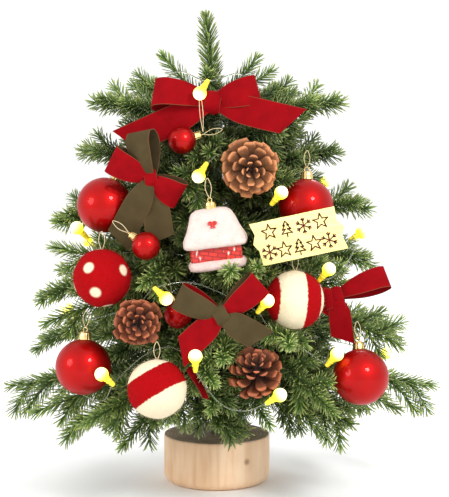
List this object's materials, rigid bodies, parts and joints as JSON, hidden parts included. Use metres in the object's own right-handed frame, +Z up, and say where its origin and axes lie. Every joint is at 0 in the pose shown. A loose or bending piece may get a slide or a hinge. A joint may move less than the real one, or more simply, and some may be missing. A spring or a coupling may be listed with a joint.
{
  "type": "artificial tabletop tree",
  "caption": "Small artificial fir tree on a round log base, dressed with glossy and felt balls, bows, cones, a cottage, a sign board and a battery light string.",
  "frame": {"origin": "middle of the log base's flat underside", "axes": "+Z up along the pole, -Y towards the decorated front, +X to the right as seen from the front"},
  "size_m": [0.4146, 0.3424, 0.4496],
  "materials": {
    "pale_wood": "sanded, unsealed",
    "floral_tape": "matt wound tape",
    "needles": "moulded needles, lighter at the tips",
    "gloss_red": "mirror-coated",
    "cap_gold": "bright crimped foil",
    "felt": "needled wool",
    "felt_cream": "needled wool",
    "house_paint": "painted, with glitter snow",
    "sign_board": "painted, hand-drawn motifs",
    "cone_scales": "dry, woody",
    "ribbon_red": "velvet",
    "ribbon_olive": "velvet",
    "box_plastic": "moulded, fine grain",
    "cell_wrap": "printed sleeve, steel ends",
    "clear_lead": "clear insulated lead and moulded sockets",
    "lamp_globe": "lit, milky",
    "thread": "twisted"
  },
  "bodies": {
    "tree": {"wood_base": "pale_wood", "trunk_pole": "floral_tape", "crown_leader": "needles", "lower_branch_1": "needles", "lower_branch_2": "needles", "lower_branch_3": "needles", "lower_branch_4": "needles", "lower_branch_5": "needles", "lower_branch_6": "needles", "middle_branch_1": "needles", "middle_branch_2": "needles", "middle_branch_3": "needles", "middle_branch_4": "needles", "upper_branch_1": "needles", "upper_branch_2": "needles", "upper_branch_3": "needles", "upper_branch_4": "needles", "high_branch_1": "needles", "high_branch_2": "needles", "high_branch_3": "needles", "top_branch_1": "needles", "top_branch_2": "needles", "top_branch_3": "needles", "top_branch_4": "needles", "pine_cone_1": "cone_scales", "pine_cone_2": "cone_scales", "pine_cone_3": "cone_scales", "sign_board": "sign_board", "bow_top": "ribbon_red", "bow_left": "ribbon_red", "bow_centre": "ribbon_red", "bow_right": "ribbon_red", "battery_case": "box_plastic", "battery_cell_1": "cell_wrap", "battery_cell_2": "cell_wrap", "light_string": "clear_lead"},
    "hung_ball_1": {"ball_1": "gloss_red", "ball_cap_1": "cap_gold"},
    "hung_ball_2": {"ball_2": "gloss_red", "ball_cap_2": "cap_gold"},
    "hung_ball_3": {"ball_3": "gloss_red", "ball_cap_3": "cap_gold"},
    "hung_ball_4": {"ball_4": "gloss_red", "ball_cap_4": "cap_gold"},
    "hung_small_ball_1": {"small_ball_1": "gloss_red"},
    "hung_small_ball_2": {"small_ball_2": "gloss_red"},
    "hung_small_ball_3": {"small_ball_3": "gloss_red"},
    "hung_felt_dotted": {"felt_ball_dotted": "felt"},
    "hung_felt_striped_1": {"felt_ball_striped_1": "felt"},
    "hung_felt_striped_2": {"felt_ball_striped_2": "felt"},
    "hung_house": {"house_ornament": "house_paint"},
    "skirt_1": {"skirt_branch_1": "needles"},
    "skirt_2": {"skirt_branch_2": "needles"},
    "skirt_3": {"skirt_branch_3": "needles"},
    "skirt_4": {"skirt_branch_4": "needles"},
    "skirt_5": {"skirt_branch_5": "needles"},
    "skirt_6": {"skirt_branch_6": "needles"},
    "skirt_7": {"skirt_branch_7": "needles"},
    "battery_cover": {"battery_cover": "box_plastic"},
    "switch_slider": {"switch_slider": "box_plastic"}
  },
  "joints": [
    {"name": "ball_1_swing", "type": "hinge", "parent": "tree", "child": "hung_ball_1", "pos_m": [-0.07819, -0.09034, 0.3131], "axis": [0, 1, 0], "range_deg": [0, 30]},
    {"name": "ball_2_swing", "type": "hinge", "parent": "tree", "child": "hung_ball_2", "pos_m": [0.0813, -0.08038, 0.3164], "axis": [1, 0, 0], "range_deg": [-20, 20]},
    {"name": "ball_3_swing", "type": "hinge", "parent": "tree", "child": "hung_ball_3", "pos_m": [-0.11364, -0.11941, 0.17764], "axis": [1, 0, 0], "range_deg": [-20, 25]},
    {"name": "ball_4_swing", "type": "hinge", "parent": "tree", "child": "hung_ball_4", "pos_m": [0.12459, -0.11389, 0.16716], "axis": [0, 1, 0], "range_deg": [-25, 3]},
    {"name": "small_ball_1_swing", "type": "hinge", "parent": "tree", "child": "hung_small_ball_1", "pos_m": [0.00278, -0.09251, 0.33772], "axis": [0, 1, 0], "range_deg": [-12, 2]},
    {"name": "small_ball_2_swing", "type": "hinge", "parent": "tree", "child": "hung_small_ball_2", "pos_m": [-0.08743, -0.12228, 0.25771], "axis": [0, 1, 0], "range_deg": [-14, 16]},
    {"name": "small_ball_3_swing", "type": "hinge", "parent": "tree", "child": "hung_small_ball_3", "pos_m": [-0.0443, -0.1097, 0.20713], "axis": [1, 0, 0], "range_deg": [-30, 30]},
    {"name": "felt_ball_dotted_swing", "type": "hinge", "parent": "tree", "child": "hung_felt_dotted", "pos_m": [-0.0992, -0.125, 0.2477], "axis": [1, 0, 0], "range_deg": [-30, 30]},
    {"name": "felt_ball_striped_1_swing", "type": "hinge", "parent": "tree", "child": "hung_felt_striped_1", "pos_m": [0.0687, -0.135, 0.2297], "axis": [1, 0, 0], "range_deg": [-14, 8]},
    {"name": "felt_ball_striped_2_swing", "type": "hinge", "parent": "tree", "child": "hung_felt_striped_2", "pos_m": [-0.0499, -0.165, 0.1571], "axis": [1, 0, 0], "range_deg": [-30, 18]},
    {"name": "house_ornament_swing", "type": "hinge", "parent": "tree", "child": "hung_house", "pos_m": [-0.00706, -0.135, 0.29443], "axis": [1, 0, 0], "range_deg": [-25, 25]},
    {"name": "skirt_1_bend", "type": "hinge", "parent": "tree", "child": "skirt_1", "pos_m": [0.00779, -0.00041, 0.104], "axis": [-0.0523, -0.9986, 0], "range_deg": [-20, 5]},
    {"name": "skirt_2_bend", "type": "hinge", "parent": "tree", "child": "skirt_2", "pos_m": [0.0048, 0.00615, 0.104], "axis": [0.788, -0.6157, 0], "range_deg": [-20, 8]},
    {"name": "skirt_3_bend", "type": "hinge", "parent": "tree", "child": "skirt_3", "pos_m": [-0.00458, 0.00631, 0.104], "axis": [0.809, 0.5878, 0], "range_deg": [-20, 8]},
    {"name": "skirt_4_bend", "type": "hinge", "parent": "tree", "child": "skirt_4", "pos_m": [-0.00779, -0.00041, 0.104], "axis": [-0.0523, 0.9986, 0], "range_deg": [-20, 5]},
    {"name": "skirt_5_bend", "type": "hinge", "parent": "tree", "child": "skirt_5", "pos_m": [-0.0058, -0.00522, 0.104], "axis": [-0.6691, 0.7431, 0], "range_deg": [-20, 6]},
    {"name": "skirt_6_bend", "type": "hinge", "parent": "tree", "child": "skirt_6", "pos_m": [0.00014, -0.0078, 0.104], "axis": [-0.9998, -0.0175, 0], "range_deg": [-20, 20]},
    {"name": "skirt_7_bend", "type": "hinge", "parent": "tree", "child": "skirt_7", "pos_m": [0.00571, -0.00532, 0.104], "axis": [-0.682, -0.7314, 0], "range_deg": [-20, 6]},
    {"name": "cover_slide", "type": "slide", "parent": "tree", "child": "battery_cover", "axis": [0, 0, -1], "range_m": [0, 0.022]},
    {"name": "switch_slide", "type": "slide", "parent": "tree", "child": "switch_slider", "axis": [1, 0, 0], "range_m": [0, 0.003]}
  ]
}
